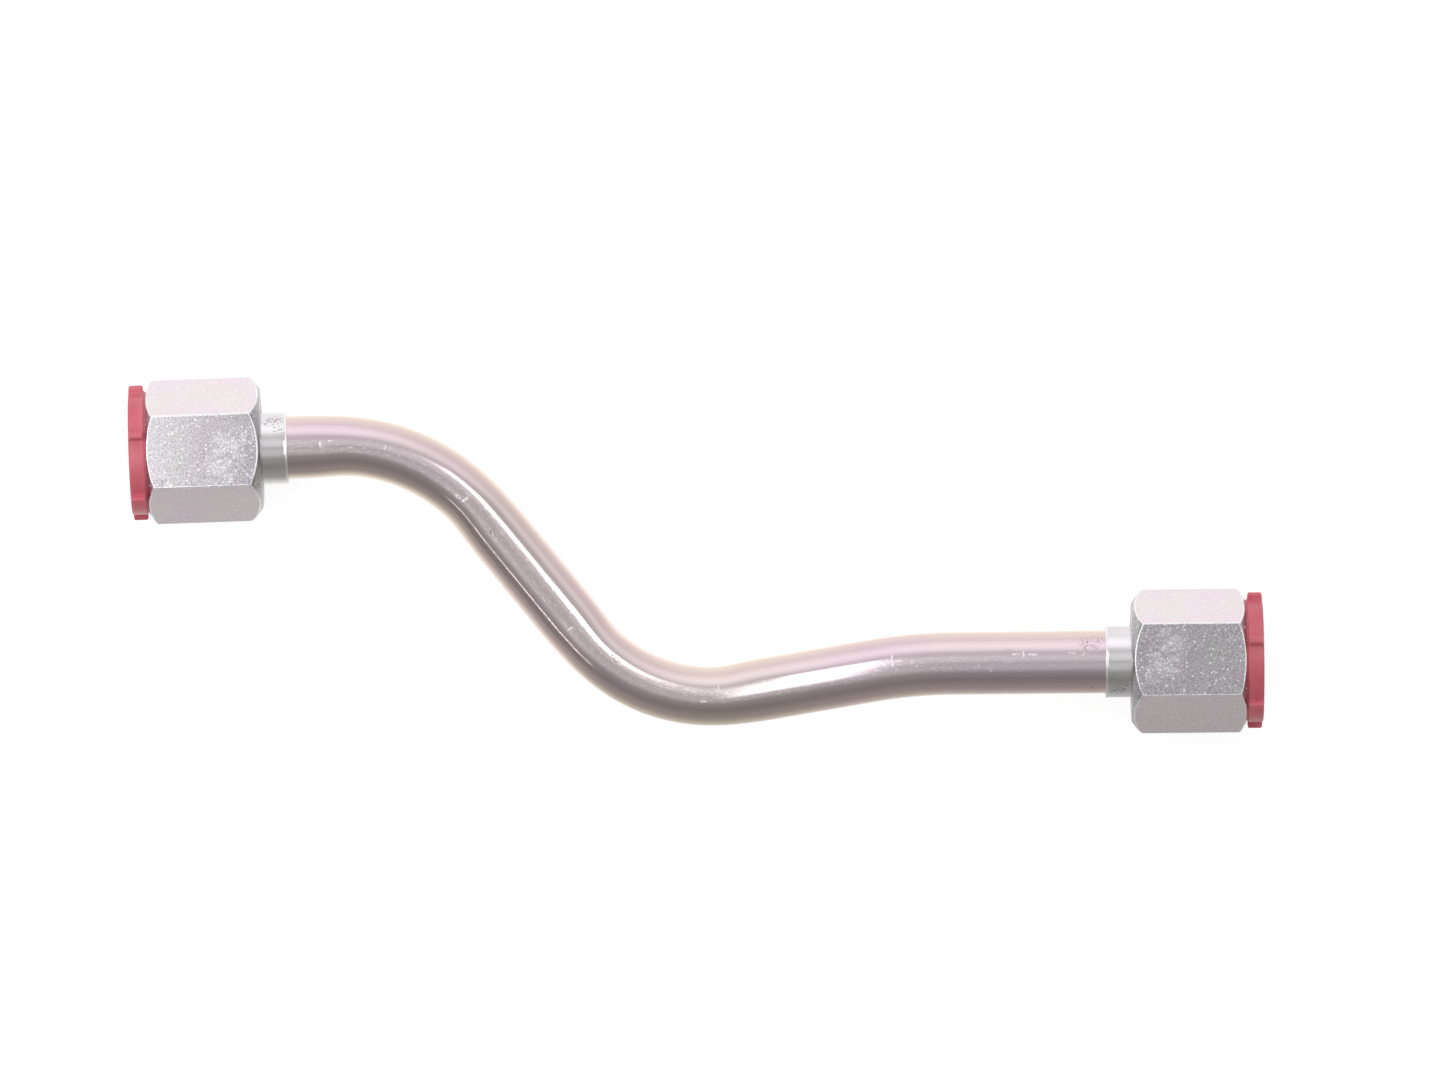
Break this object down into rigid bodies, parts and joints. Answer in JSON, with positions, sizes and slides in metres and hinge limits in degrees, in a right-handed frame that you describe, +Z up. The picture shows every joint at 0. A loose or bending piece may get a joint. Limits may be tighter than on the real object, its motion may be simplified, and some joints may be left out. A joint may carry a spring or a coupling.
{
  "type": "hydraulic pipe",
  "caption": "Bent zinc-plated steel hydraulic pipe with a captive hexagonal swivel nut at each end, each nut closed by a red screw-in dust plug.",
  "frame": {"origin": "centre of the left sleeve's flat sealing face", "axes": "+X along the first straight run, from the left sealing face into the pipe; +Z up, square to the plane of the bends, as the pipe lies on a table"},
  "size_m": [0.2158, 0.0749, 0.0258],
  "materials": {
    "tube_steel": "bright zinc plate on drawn tube, satin",
    "sleeve_steel": "bright zinc plate on turned steel",
    "nut_steel": "bright zinc plate on machined hexagon bar, faintly grainy",
    "plug_plastic": "soft moulded polyethylene, satin red"
  },
  "bodies": {
    "pipe": {"tube": "tube_steel", "left_sleeve": "sleeve_steel", "right_sleeve": "sleeve_steel"},
    "left_nut": {"left_nut": "nut_steel"},
    "right_nut": {"right_nut": "nut_steel"},
    "left_plug": {"left_plug": "plug_plastic"},
    "right_plug": {"right_plug": "plug_plastic"}
  },
  "joints": [
    {"name": "left_nut_spin", "type": "hinge", "parent": "pipe", "child": "left_nut", "pos_m": [0, 0, 0], "axis": [1, 0, 0], "continuous": true},
    {"name": "left_plug_out", "type": "slide", "parent": "left_nut", "child": "left_plug", "axis": [-1, 0, 0], "range_m": [0, 0.00953]},
    {"name": "right_nut_spin", "type": "hinge", "parent": "pipe", "child": "right_nut", "pos_m": [0.18688, -0.04689, 0], "axis": [-0.9997, 0.0244, 0], "continuous": true},
    {"name": "right_plug_out", "type": "slide", "parent": "right_nut", "child": "right_plug", "axis": [0.9997, -0.0244, 0], "range_m": [0, 0.00953]}
  ]
}
